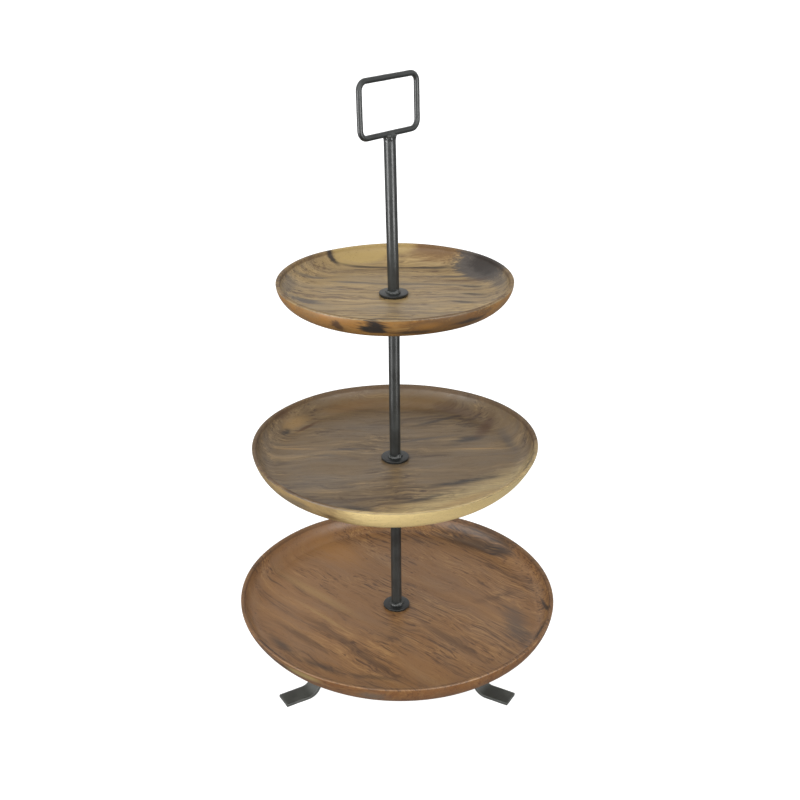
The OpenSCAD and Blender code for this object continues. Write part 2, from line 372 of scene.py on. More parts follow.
@dataclass(frozen=True)
class Acacia:
    """Acacia turned, sanded and oiled to a satin. The growth bands bend round the dish,
    sapwood is pale at one side of the board, and short dark pores follow the grain."""

    name: str
    node: str
    light: str
    middle: str
    dark: str
    wall: Tone
    wall_strength: float
    turn: float
    pith_y: float
    pith_z: float
    band_mm: float = 14.0
    band_depth: float = 0.6
    streak_depth: float = 0.45
    fibre_depth: float = 0.7
    line_depth: float = 0.45
    sway_mm: float = 9.0
    seed: float = 0.0
    sap: Tone = Tone.STRAW
    sap_turn: float = 0.0
    sap_from: float = 400.0
    fibre_mm: float = 1.3
    haze: Tone = Tone.SMOKE
    haze_depth: float = 0.3
    # How strongly the painted shade darkens the rim's top and inner edge
    rim_shade_depth: float = 0.45
    rim_rough: float = 0.22
    # The pores' width is set by how they look, not by a measurement
    pore_mm: float = 0.5
    pore_depth: float = 0.35
    pore_rough: float = 0.15
    relief_mm: float = 0.07
    ior: float = 1.47
    marks: tuple[Mark, ...] = ()

    def build(self) -> bpy.types.Material:
        """Makes the material."""
        material, tree, shader = new_finish(self.name)
        spot = millimetres(tree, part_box(self.node)[0].z)
        turned = (0.0, 0.0, math.radians(self.turn))
        board = add_node(tree, "Mapping", spot, (self.seed, self.seed, 0.0), turned, **FRAMED)
        grain = self.bend(tree, board)
        fibre = grains(tree, grain, (26.0, self.fibre_mm, self.fibre_mm), 3.0)
        streak = grains(tree, grain, (90.0, 4.5, 4.5), 4.0)
        pore = grains(tree, grain, (6.0, self.pore_mm, self.pore_mm), 1.0)
        pore = add_node(tree, "MapRange", pore, 0.6, 0.75, **SOFT)
        wall = add_node(tree, "Attribute", out="Fac", attribute_name="wall")
        rim = add_node(tree, "Attribute", out="Fac", attribute_name="rim")
        colour = self.ground(tree, grain, streak, fibre)
        colour = self.tinted(tree, grain, wall, rim, colour)
        colour = self.sapwood(tree, spot, wall, streak, fibre, colour)
        for mark in self.marks:
            colour = self.draw(tree, mark, spot, streak, fibre, colour)
        filled = add_node(tree, "Math", pore, self.pore_depth, operation="MULTIPLY")
        colour = add_node(tree, "Mix", filled, colour, linear(Tone.UMBER.value), **COLOURS)
        rough = add_node(tree, "MapRange", streak, 0.3, 0.7, 0.5, 0.4, **SOFT)
        rough = add_node(tree, "Math", pore, self.pore_rough, rough, operation="MULTIPLY_ADD")
        rough = add_node(tree, "Math", rim, self.rim_rough, rough, operation="MULTIPLY_ADD")
        height = add_node(tree, "Math", fibre, pore, operation="SUBTRACT")
        height = add_node(tree, "Math", height, 0.5, operation="MULTIPLY")
        wire(tree, shader, colour, rough, height, self.relief_mm)
        shader.inputs["IOR"].default_value = self.ior
        return material

    def bend(self, tree: Tree, grain: Socket) -> Socket:
        """Bends the grain sideways in slow waves, as the tree grew."""
        spread = add_node(tree, "Mapping", grain, STILL, STILL, (120.0, 60.0, 60.0), **FRAMED)
        waves = add_node(tree, "TexNoise", spread, 1.0, 3.0, out="Color", noise_dimensions="3D")
        sway = (0.0, 4.0 * self.sway_mm, 4.0 * self.sway_mm)
        shift = add_node(tree, "VectorMath", waves, sway, grain, operation="MULTIPLY_ADD")
        return add_node(tree, "Mapping", shift, (0.0, 2.0 * self.sway_mm, 2.0 * self.sway_mm), **FRAMED)

    def bands(self, tree: Tree, grain: Socket) -> Socket:
        """Gives uneven growth bands round the pith, which runs along the grain."""
        centre = (0.0, self.pith_y, self.pith_z)
        pith = add_node(tree, "Mapping", grain, centre, STILL, (1e6, 1.0, 1.0), **FRAMED)
        radius = add_node(tree, "VectorMath", pith, operation="LENGTH")
        ring = add_node(tree, "Math", radius, self.band_mm, operation="DIVIDE")
        return add_node(tree, "TexNoise", ring, 1.0, 2.0, noise_dimensions="1D")

    def ground(self, tree: Tree, grain: Socket, streak: Socket, fibre: Socket) -> Socket:
        """Mixes the three ground colours by the bands, streaks, fibres and thin dark lines."""
        vigour = grains(tree, grain, (130.0, 60.0, 60.0), 2.0)
        vigour = add_node(tree, "MapRange", vigour, 0.38, 0.62, 0.35, 1.6, **SOFT)
        line = grains(tree, grain, (110.0, 2.4, 2.4), 2.0)
        line = add_node(tree, "MapRange", line, 0.58, 0.7, **SOFT)
        figure: Value = 0.0
        for pattern, depth in ((streak, self.streak_depth), (fibre, self.fibre_depth)):
            centred = add_node(tree, "Math", pattern, 0.5, operation="SUBTRACT")
            figure = add_node(tree, "Math", centred, 2.0 * depth, figure, operation="MULTIPLY_ADD")
        tone = add_node(tree, "Math", self.bands(tree, grain), 0.5, operation="SUBTRACT")
        tone = add_node(tree, "Math", tone, 2.0 * self.band_depth, 0.5, operation="MULTIPLY_ADD")
        tone = add_node(tree, "Math", figure, vigour, tone, operation="MULTIPLY_ADD")
        line = add_node(tree, "Math", line, vigour, operation="MULTIPLY")
        tone = add_node(tree, "Math", line, -self.line_depth, tone, operation="MULTIPLY_ADD")
        lower = add_node(tree, "MapRange", tone, 0.0, 0.5, **SOFT)
        upper = add_node(tree, "MapRange", tone, 0.5, 1.0, **SOFT)
        under = add_node(tree, "Mix", lower, linear(self.dark), linear(self.middle), **COLOURS)
        return add_node(tree, "Mix", upper, under, linear(self.light), **COLOURS)

    def tinted(
        self, tree: Tree, grain: Socket, wall: Socket, rim: Socket, colour: Socket
    ) -> Socket:
        """Lays a grey haze over the board, the wall's own tint and a painted shade that darkens the rim.
        """
        haze = grains(tree, grain, (70.0, 22.0, 22.0), 4.0)
        haze = add_node(tree, "MapRange", haze, 0.42, 0.68, 0.0, self.haze_depth, **SOFT)
        colour = add_node(tree, "Mix", haze, colour, linear(self.haze.value), **COLOURS)
        patch = grains(tree, grain, (30.0, 8.0, 8.0), 4.0)
        patch = add_node(tree, "MapRange", patch, 0.35, 0.65, 0.6, 1.0, **SOFT)
        tint = add_node(tree, "Math", wall, self.wall_strength, operation="MULTIPLY")
        tint = add_node(tree, "Math", tint, patch, operation="MULTIPLY")
        colour = add_node(tree, "Mix", tint, colour, linear(self.wall.value), **COLOURS)
        # Painted shade: the rim's top and inner edge are darkened towards umber, where the rim faces the
        # light
        rim_shade = add_node(tree, "Math", rim, self.rim_shade_depth, operation="MULTIPLY")
        return add_node(tree, "Mix", rim_shade, colour, linear(Tone.UMBER.value), **COLOURS)

    def sapwood(
        self, tree: Tree, spot: Socket, wall: Socket, streak: Socket, fibre: Socket, colour: Socket
    ) -> Socket:
        """Lays pale sapwood beyond a line across the board, palest on the outer wall."""
        turned = (0.0, 0.0, math.radians(self.sap_turn))
        across = add_node(tree, "Mapping", spot, STILL, turned, **FRAMED)
        reach = add_node(tree, "SeparateXYZ", across, out="X")
        ragged = add_node(tree, "Math", streak, 24.0, reach, operation="MULTIPLY_ADD")
        amount = add_node(tree, "MapRange", ragged, self.sap_from, self.sap_from + 26.0, **SOFT)
        depth = add_node(tree, "MapRange", fibre, 0.3, 0.7, 0.25, 0.42, **SOFT)
        depth = add_node(tree, "Math", wall, 0.55, depth, operation="MULTIPLY_ADD")
        amount = add_node(tree, "Math", amount, depth, operation="MULTIPLY")
        return add_node(tree, "Mix", amount, colour, linear(self.sap.value), **COLOURS)

    def draw(
        self, tree: Tree, mark: Mark, spot: Socket, streak: Socket, fibre: Socket, colour: Socket
    ) -> Socket:
        """Lays one mark over the colour, with its edges drawn out along the grain."""
        turned = (0.0, 0.0, math.radians(mark.turn))
        size = (mark.long, mark.wide, mark.deep)
        inside = add_node(tree, "Mapping", spot, (mark.x, mark.y, mark.z), turned, size, **FRAMED)
        distance = add_node(tree, "VectorMath", inside, operation="LENGTH")
        edge = add_node(tree, "Math", streak, fibre, operation="ADD")
        edge = add_node(tree, "Math", edge, 1.0, operation="SUBTRACT")
        ragged = add_node(tree, "Math", edge, mark.ragged, distance, operation="MULTIPLY_ADD")
        amount = add_node(tree, "MapRange", ragged, mark.core, 1.0, mark.strength, 0.0, **SOFT)
        return add_node(tree, "Mix", amount, colour, linear(mark.tone.value), **COLOURS)


# ------------------------------------------------------------------ mesh tools


def arc(
    centre: Point, radii: Point, start: float, end: float, steps: int, first: int = 1
) -> list[Point]:
    """Gives points along an arc of an ellipse.

    Args:
        centre: The ellipse's centre, across and up.
        radii: Its half-widths, across and up.
        start: The first angle, in degrees from across towards up.
        end: The last angle.
        steps: How many stretches the arc has.
        first: 1 leaves out the first point, where the arc joins the one before.

    Returns:
        The points.
    """
    angles = [math.radians(start + (end - start) * i / steps) for i in range(first, steps + 1)]
    return [
        (centre[0] + radii[0] * math.cos(a), centre[1] + radii[1] * math.sin(a)) for a in angles
    ]


def lathe(
    outline: Iterable[Point],
    steps: int,
    closed: bool = True,
    marks: Optional[Mapping[str, Callable[[int], float]]] = None,
) -> bmesh.types.BMesh:
    """Spins an outline of (radius, height) points round the Z axis.

    Args:
        outline: The points, in metres. An open outline starts and ends on the axis.
        steps: How many stretches go round.
        closed: Whether the last point joins the first, as on a ring.
        marks: Names of vertex attributes, each with a function of the point's number.

    Returns:
        The closed shape, with its faces pointing out.
    """
    bm = bmesh.new()
    layers = {name: bm.verts.layers.float.new(name) for name in marks or {}}
    points = [bm.verts.new((radius, 0.0, height)) for radius, height in outline]
    for name, layer in layers.items():
        for number, point in enumerate(points):
            point[layer] = marks[name](number)
    ends = points[1:] + points[:1] if closed else points[1:]
    edges = [bm.edges.new(pair) for pair in zip(points, ends)]
    bmesh.ops.spin(
        bm, geom=points + edges, cent=(0, 0, 0), axis=(0, 0, 1), angle=FULL_TURN,
        steps=steps, use_merge=True, use_duplicate=False,
    )
    bmesh.ops.remove_doubles(bm, verts=bm.verts, dist=1e-7)
    bmesh.ops.recalc_face_normals(bm, faces=bm.faces)
    return bm


def round_edges(bm: bmesh.types.BMesh, radius: float, segments: int = 3, over: float = 35.0) -> None:
    """Rounds every edge whose faces turn by more than an angle in degrees."""
    sharp = [e for e in bm.edges if e.is_manifold and e.calc_face_angle(0.0) > math.radians(over)]
    bmesh.ops.bevel(
        bm, geom=sharp, offset=radius, offset_type="OFFSET", segments=segments,
        profile=0.5, affect="EDGES", material=-1, clamp_overlap=True,
    )


def draw_out(bm: bmesh.types.BMesh, face: bmesh.types.BMFace) -> bmesh.types.BMFace:
    """Extrudes a face, drops it if it's now inside the shape, and returns the new one."""
    is_inside = any(len(edge.link_faces) > 1 for edge in face.edges)
    made = bmesh.ops.extrude_face_region(bm, geom=[face])["geom"]
    if is_inside:
        bmesh.ops.delete(bm, geom=[face], context="FACES_ONLY")
    return next(part for part in made if isinstance(part, bmesh.types.BMFace))


def pull(bm: bmesh.types.BMesh, face: bmesh.types.BMFace, by: Vector, steps: int) -> bmesh.types.BMFace:
    """Draws a face out along a straight line and returns the face at its end."""
    for _ in range(steps):
        face = draw_out(bm, face)
        bmesh.ops.translate(bm, verts=face.verts, vec=by / steps)
    return face


def turn_about(bm: bmesh.types.BMesh, degrees: float, axis: str) -> None:
    """Turns a whole shape round one of the frame's axes."""
    turned = Matrix.Rotation(math.radians(degrees), 3, axis)
    bmesh.ops.rotate(bm, verts=bm.verts, cent=(0, 0, 0), matrix=turned)


def swing(
    bm: bmesh.types.BMesh, face: bmesh.types.BMFace, centre: Vector, axis: Vector, turn: float, steps: int
) -> bmesh.types.BMFace:
    """Draws a face out round a bend and returns the face at its end.

    Args:
        bm: The mesh.
        face: The face to draw out.
        centre: The bend's centre.
        axis: The bend's axis.
        turn: The bend's angle, in degrees.
        steps: How many stretches the bend has.

    Returns:
        The face at the bend's end.
    """
    for _ in range(steps):
        face = draw_out(bm, face)
        turned = Matrix.Rotation(math.radians(turn / steps), 3, axis)
        bmesh.ops.rotate(bm, verts=face.verts, cent=centre, matrix=turned)
    return face


def roughen(bm: bmesh.types.BMesh, size: float, depth: float, seed: float = 0.0) -> None:
    """Lifts and lowers a surface along its normals by smooth noise.

    Args:
        bm: The shape.
        size: How wide the lumps are, in metres.
        depth: How high they are, in metres.
        seed: Shifts the noise, so that two pieces differ.
    """
    bm.normal_update()
    offset = Vector((seed, seed, seed))
    moves = [v.normal * depth * noise.noise(v.co / size + offset) for v in bm.verts]
    for vertex, move in zip(bm.verts, moves):
        vertex.co += move


def finish_piece(
    bm: bmesh.types.BMesh, name: str, node: str, finish: bpy.types.Material, smooth_under: float = 40.0
) -> bpy.types.Object:
    """Turns a shape into a piece that stands for a CAD node and rides on its body.

    Args:
        bm: The shape, in metres, in the frame's own place. It is freed.
        name: The piece's name.
        node: The CAD node that it replaces.
        finish: Its material.
        smooth_under: Edges that turn by more than this many degrees stay sharp.

    Returns:
        The piece.
    """
    mesh = bpy.data.meshes.new(name)
    bm.to_mesh(mesh)
    bm.free()
    mesh.polygons.foreach_set("use_smooth", [True] * len(mesh.polygons))
    mesh.set_sharp_from_angle(angle=math.radians(smooth_under))
    mesh.materials.append(finish)
    piece = bpy.data.objects.new(name, mesh)
    bpy.context.scene.collection.objects.link(piece)
    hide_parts(node)
    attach(piece, BODY_OF[node])
    log.info("%s: %d faces, on %s", name, len(mesh.polygons), BODY_OF[node])
    return piece


# ------------------------------------------------------------------ trays


@dataclass
class Tray:
    """One turned tray, with the small unevenness of hand sanding and of its seat.

    It tilts by tilt_x and tilt_y, lifts, and bends by saddle, and its outline moves by
    off_x and grows by swell. Its wall is hollow, most of all towards hollow_azimuth, in
    degrees from the front towards the right.
    """

    node: str
    wood: Acacia
    floor_t: float
    cove_w: float
    tilt_x: float = 0.0
    tilt_y: float = 0.0
    hollow: float = 0.0
    hollow_azimuth: float = 0.0
    off_x: float = 0.0
    swell: float = 0.0
    lift: float = 0.0
    saddle: float = 0.0
    seed: float = 0.0
    noise_size: float = 70 * MM
    noise_lift: float = 0.5 * MM
    noise_spread: float = 0.0012
    foot_inset: float = 25 * MM
    rim_w: float = 3.6 * MM
    rim_edge_r: float = 1.3 * MM
    hole_r: float = 3.5 * MM
    chamfer: float = 0.5 * MM
    steps: int = 300

    def build(self) -> None:
        """Makes the tray and dresses it in its wood."""
        low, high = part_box(self.node)
        self.radius, self.base, self.top = high.x, low.z, high.z
        outline = self.outline()
        outer = len(self.underside()) + len(self.wall())
        rim_end = outer + 16
        marks = {
            "wall": lambda number: float(1 <= number < outer),
            "rim": lambda number: float(outer + 4 <= number < rim_end + 3),
        }
        bm = lathe(outline, self.steps, marks=marks)
        for vertex in bm.verts:
            vertex.co = self.worn(vertex.co)
        finish_piece(bm, f"{self.node}_wood", self.node, self.wood.build(), 60.0)

    def underside(self) -> list[Point]:
        """Gives the flat underside's points, from the hole out."""
        start, end = self.hole_r + self.chamfer, self.radius - self.foot_inset
        return [(start + (end - start) * i / 16, self.base) for i in range(16)]

    def wall(self) -> list[Point]:
        """Gives the outer wall's points, a quarter of an ellipse from the foot up."""
        edge_z = self.top - self.rim_edge_r
        return arc(
            (self.radius - self.foot_inset, edge_z), (self.foot_inset, edge_z - self.base), -90, 0, 28, 0
        )

    def outline(self) -> list[Point]:
        """Gives the section's outline, from the hole out under the foot and over the rim."""
        edge_z = self.top - self.rim_edge_r
        edge = (self.rim_edge_r, self.rim_edge_r)
        inside = self.radius - self.rim_w
        floor = self.base + self.floor_t
        cove = inside - self.cove_w
        points = self.underside() + self.wall()
        points += arc((self.radius - self.rim_edge_r, edge_z), edge, 0, 90, 8)
        points += arc((inside + self.rim_edge_r, edge_z), edge, 90, 180, 8, 0)
        points += arc((cove, edge_z), (self.cove_w, edge_z - floor), 0, -90, 28)
        points += [(cove + (self.hole_r + self.chamfer - cove) * i / 20, floor) for i in range(1, 21)]
        return points + [(self.hole_r, floor - self.chamfer), (self.hole_r, self.base + self.chamfer)]

    def worn(self, at: Vector) -> Vector:
        """Gives where a point of the true shape lies on the hand-sanded tray."""
        reach = math.hypot(at.x, at.y) / self.radius
        free = max(0.0, min(1.0, (reach - 0.2) / 0.3))
        free = free * free * (3 - 2 * free)
        around = Vector((at.x, at.y, 0.0)) / self.noise_size + Vector((0.0, 0.0, self.seed))
        rise = noise.noise(around) * self.noise_lift + self.lift
        rise += self.tilt_x * at.x + self.tilt_y * at.y
        rise += self.saddle * (at.x**2 - at.y**2) / self.radius**2
        height = (at.z - self.base) / (self.top - self.base)
        azimuth = math.atan2(at.x, -at.y) - math.radians(self.hollow_azimuth)
        side = 0.25 + 0.75 * max(0.0, math.cos(azimuth)) ** 6
        pinch = self.hollow * side * math.sin(math.pi * height) * free
        spread = 1.0 - pinch / max(reach * self.radius, 1 * MM)
        wobble = noise.noise(around + Vector((7.0, 0.0, 0.0))) * self.noise_spread
        spread += (self.swell + wobble) * free
        return Vector((at.x * spread + self.off_x * free, at.y * spread, at.z + rise * free))


# ------------------------------------------------------------------ post sections


def flat_ring(
    node: str, hole_r: float, edge_r: float, steps: int = 96, worn: float = 0.05 * MM
) -> bmesh.types.BMesh:
    """Makes a flat ring that fills a node's box, with rounded edges.

    Args:
        node: The CAD node.
        hole_r: The hole's radius.
        edge_r: The radius of the edges.
        steps: How many stretches go round.
        worn: How uneven its surface is.

    Returns:
        The ring.
    """
    low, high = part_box(node)
    bm = lathe(
        [(hole_r, low.z), (high.x, low.z), (high.x, high.z), (hole_r, high.z)], steps
    )
    round_edges(bm, min(edge_r, (high.z - low.z) * 0.4))
    roughen(bm, 6 * MM, worn, high.z * 100)
    return bm


@dataclass
class PostSection:
    """One section of the post: a bar on a welded flange, with a stud in its foot and, where
    it carries a tray, a threaded hole and a support washer on top."""

    name: str
    iron: bpy.types.Material
    plate: bpy.types.Material
    weld: bpy.types.Material
    zinc: bpy.types.Material
    support: Optional[str] = None
    lean: float = 0.0
    hole_r: float = 3.4 * MM
    bore_r: float = 3.05 * MM
    foot_bore: float = 12 * MM
    top_bore: float = 13 * MM
    tack_at: float = -50.0
    coat: float = 0.25 * MM
    pitch: float = 1.0 * MM
    thread_depth: float = 0.55 * MM
    rings_per_turn: int = 8

    def build(self) -> None:
        """Makes the section's pieces."""
        self.foot_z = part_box(f"{self.name}_flange")[0].z
        self.finish(flat_ring(f"{self.name}_flange", self.hole_r, 0.5 * MM), "flange", self.plate)
        self.finish(self.bar(), "post", self.iron)
        self.finish(self.bead(), "flange_weld", self.weld)
        self.finish(self.stud(), "stud", self.zinc)
        if self.support:
            ring = flat_ring(self.support, self.hole_r, 0.5 * MM)
            finish_piece(ring, f"{self.support}_ring", self.support, self.iron)

    def finish(self, bm: bmesh.types.BMesh, part: str, material: bpy.types.Material) -> None:
        """Leans one of the section's shapes as the section stands and makes it a piece."""
        lean_over(bm, self.lean, self.foot_z)
        finish_piece(bm, f"{self.name}_{part}_piece", f"{self.name}_{part}", material)

    def bar(self) -> bmesh.types.BMesh:
        """Makes the round bar with its bores."""
        low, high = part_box(f"{self.name}_post")
        bore = low.z + self.foot_bore
        outline = [(0.0, bore), (self.bore_r, bore), (self.bore_r, low.z)]
        count = 24
        side = high.x + self.coat
        outline += [(side, low.z + (high.z - low.z) * i / count) for i in range(count + 1)]
        if self.support:
            bore = high.z - self.top_bore
            outline += [(self.bore_r, high.z), (self.bore_r, bore), (0.0, bore)]
        else:
            outline += [(0.0, high.z)]
        bm = lathe(outline, 64, closed=False)
        round_edges(bm, 0.4 * MM)
        roughen(bm, 14 * MM, 0.09 * MM, high.z * 100)
        return bm

    def bead(self) -> bmesh.types.BMesh:
        """Makes the lumpy weld bead between the bar and its flange."""
        low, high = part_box(f"{self.name}_flange_weld")
        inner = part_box(f"{self.name}_post")[1].x - 0.3 * MM
        size = (high.x - inner, (high.z - low.z) * 1.02)
        outline = [(inner, low.z)] + arc((inner, low.z), size, 0, 90, 10, 0)
        bm = lathe(outline, 128)
        drop = Vector((high.z * 100, 0.0, 0.0))
        for vertex in bm.verts:
            azimuth = math.atan2(vertex.co.y, vertex.co.x)
            around = Vector((math.cos(azimuth), math.sin(azimuth), 0.0)) * 1.1 + drop
            ripple = 1.0 + 0.05 * math.sin(azimuth * 23 + 3 * noise.noise(around))
            swell = ripple * (0.82 + 0.3 * noise.noise(around * 1.7))
            off = math.remainder(azimuth - math.radians(self.tack_at), FULL_TURN)
            tack = 0.9 * math.exp(-((off / 0.4) ** 2))
            reach = math.hypot(vertex.co.x, vertex.co.y)
            grown = (inner + (reach - inner) * (swell + 0.4 * tack)) / reach
            height = (vertex.co.z - low.z) * (swell + tack)
            vertex.co = Vector((vertex.co.x * grown, vertex.co.y * grown, low.z + height))
        roughen(bm, 1.4 * MM, 0.16 * MM, high.z * 100)
        return bm

    def stud(self) -> bmesh.types.BMesh:
        """Makes the stud, with a thread rolled along its whole length."""
        low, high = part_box(f"{self.name}_stud")
        lead = 0.6 * MM
        length = high.z - low.z - 2 * lead
        count = round(length / self.pitch * self.rings_per_turn)
        side = [(high.x, low.z + lead + length * i / count) for i in range(count + 1)]
        ends = ((high.x - lead, low.z), (high.x - lead, high.z))
        bm = lathe([(0.0, low.z), ends[0]] + side + [ends[1], (0.0, high.z)], 40, closed=False)
        for vertex in bm.verts:
            vertex.co = self.cut(vertex.co)
        return bm

    def cut(self, at: Vector) -> Vector:
        """Gives where a point of the plain rod lies once the thread is rolled."""
        radius = math.hypot(at.x, at.y)
        if radius < 2 * self.thread_depth:
            return at
        phase = (at.z / self.pitch - math.atan2(at.y, at.x) / FULL_TURN) % 1.0
        groove = min(1.0, 1.15 * max(0.0, 1.0 - abs(phase - 0.5) / 0.42))
        scale = (radius - self.thread_depth * groove) / radius
        return Vector((at.x * scale, at.y * scale, at.z))


def lean_over(bm: bmesh.types.BMesh, slope: float, foot_z: float) -> None:
    """Leans a shape to the left above a height, as a section stands on its thread."""
    for vertex in bm.verts:
        vertex.co.x -= slope * max(0.0, vertex.co.z - foot_z)


def build_rubber_washer(tray: str, rubber: bpy.types.Material) -> None:
    """Makes the squeezed rubber washer on a tray's floor, with a bulging edge."""
    node = f"{tray}_rubber_washer"
    low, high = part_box(node)
    middle = (low.z + high.z) / 2
    outline = [(3.4 * MM, high.z), (3.4 * MM, low.z)]
    outline += arc((high.x - 0.3 * MM, middle), (0.3 * MM, (high.z - low.z) / 2), -90, 90, 8, 0)
    bm = lathe(outline, 96)
    for vertex in bm.verts:
        azimuth = math.atan2(vertex.co.y, vertex.co.x)
        spot = Vector((math.cos(azimuth) * 2, math.sin(azimuth) * 2, low.z * 100))
        spread = 1.0 + 0.006 * noise.noise(spot)
        vertex.co.x *= spread
        vertex.co.y *= spread
    finish_piece(bm, f"{tray}_rubber_washer_ring", node, rubber)


# ------------------------------------------------------------------ handle


@dataclass
class Handle:
    """The loop of round rod on top of the post, and the weld that holds it."""

    iron: bpy.types.Material
    weld: bpy.types.Material
    lean: float
    width: float = 66 * MM
    height: float = 45 * MM
    rod_d: float = 4.8 * MM
    bend_r: float = 7.2 * MM
    turn: float = 46.0
    sides: int = 28
    bend_steps: int = 14

    def build(self) -> None:
        """Makes the loop and its weld."""
        self.rod_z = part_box("handle_loop")[0].z + self.rod_d / 2
        self.foot_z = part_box("upper_flange")[0].z
        for bm, part, material in ((self.loop(), "loop", self.iron), (self.seam(), "weld", self.weld)):
            lean_over(bm, self.lean, self.foot_z)
            finish_piece(bm, f"handle_{part}_piece", f"handle_{part}", material)

    def loop(self) -> bmesh.types.BMesh:
        """Sweeps the rod's round section along the loop, from under the weld and back."""
        bm = bmesh.new()
        bmesh.ops.create_circle(bm, cap_ends=True, segments=self.sides, radius=self.rod_d / 2)
        turn_about(bm, 90, "Y")
        first = face = bm.faces[:][0]
        across = self.width / 2 - self.bend_r
        up = self.height - 2 * self.bend_r
        axis = Vector((0.0, -1.0, 0.0))
        face = pull(bm, face, Vector((across, 0.0, 0.0)), 6)
        face = swing(bm, face, Vector((across, 0.0, self.bend_r)), axis, 90, self.bend_steps)
        face = pull(bm, face, Vector((0.0, 0.0, up)), 6)
        face = swing(bm, face, Vector((across, 0.0, self.bend_r + up)), axis, 90, self.bend_steps)
        face = pull(bm, face, Vector((-2 * across, 0.0, 0.0)), 12)
        face = swing(bm, face, Vector((-across, 0.0, self.bend_r + up)), axis, 90, self.bend_steps)
        face = pull(bm, face, Vector((0.0, 0.0, -up)), 6)
        face = swing(bm, face, Vector((-across, 0.0, self.bend_r)), axis, 90, self.bend_steps)
        face = pull(bm, face, Vector((across, 0.0, 0.0)), 6)
        bmesh.ops.delete(bm, geom=[first, face], context="FACES_ONLY")
        bmesh.ops.remove_doubles(bm, verts=bm.verts, dist=1e-6)
        bmesh.ops.recalc_face_normals(bm, faces=bm.faces)
        roughen(bm, 9 * MM, 0.12 * MM, 4.0)
        self.set_up(bm, self.rod_z)
        return bm

    def seam(self) -> bmesh.types.BMesh:
        """Makes the weld that runs round the post's end and up the sides of the rod."""
        low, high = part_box("handle_weld")
        post_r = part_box("upper_post")[1].x
        bulge = high.x - post_r
        seam_z = self.rod_z - self.rod_d / 2
        foot_z = low.z - 3.5 * MM
        outline = [(0.0, foot_z), (post_r * 0.95, foot_z)]
        outline += arc((post_r - bulge * 0.2, seam_z), (bulge * 0.55, (seam_z - foot_z)), -80, 0, 12)
        outline += arc((0.0, seam_z), (post_r + bulge * 0.95, high.z - seam_z), 4, 90, 14)
        bm = lathe(outline, 64, closed=False)
        for vertex in bm.verts:
            rise = max(0.0, min(1.0, (vertex.co.z - seam_z) / (high.z - seam_z)))
            vertex.co.x *= 1.0 - 0.12 * rise
            vertex.co.y *= 1.0 - 0.28 * rise
        roughen(bm, 2.6 * MM, 0.35 * MM, 2.0)
        self.set_up(bm, 0.0)
        return bm

    def set_up(self, bm: bmesh.types.BMesh, z: float) -> None:
        """Turns a shape as the handle is turned and lifts it to a height."""
        turn_about(bm, self.turn, "Z")
        bmesh.ops.translate(bm, verts=bm.verts, vec=(0.0, 0.0, z))


# ------------------------------------------------------------------ base


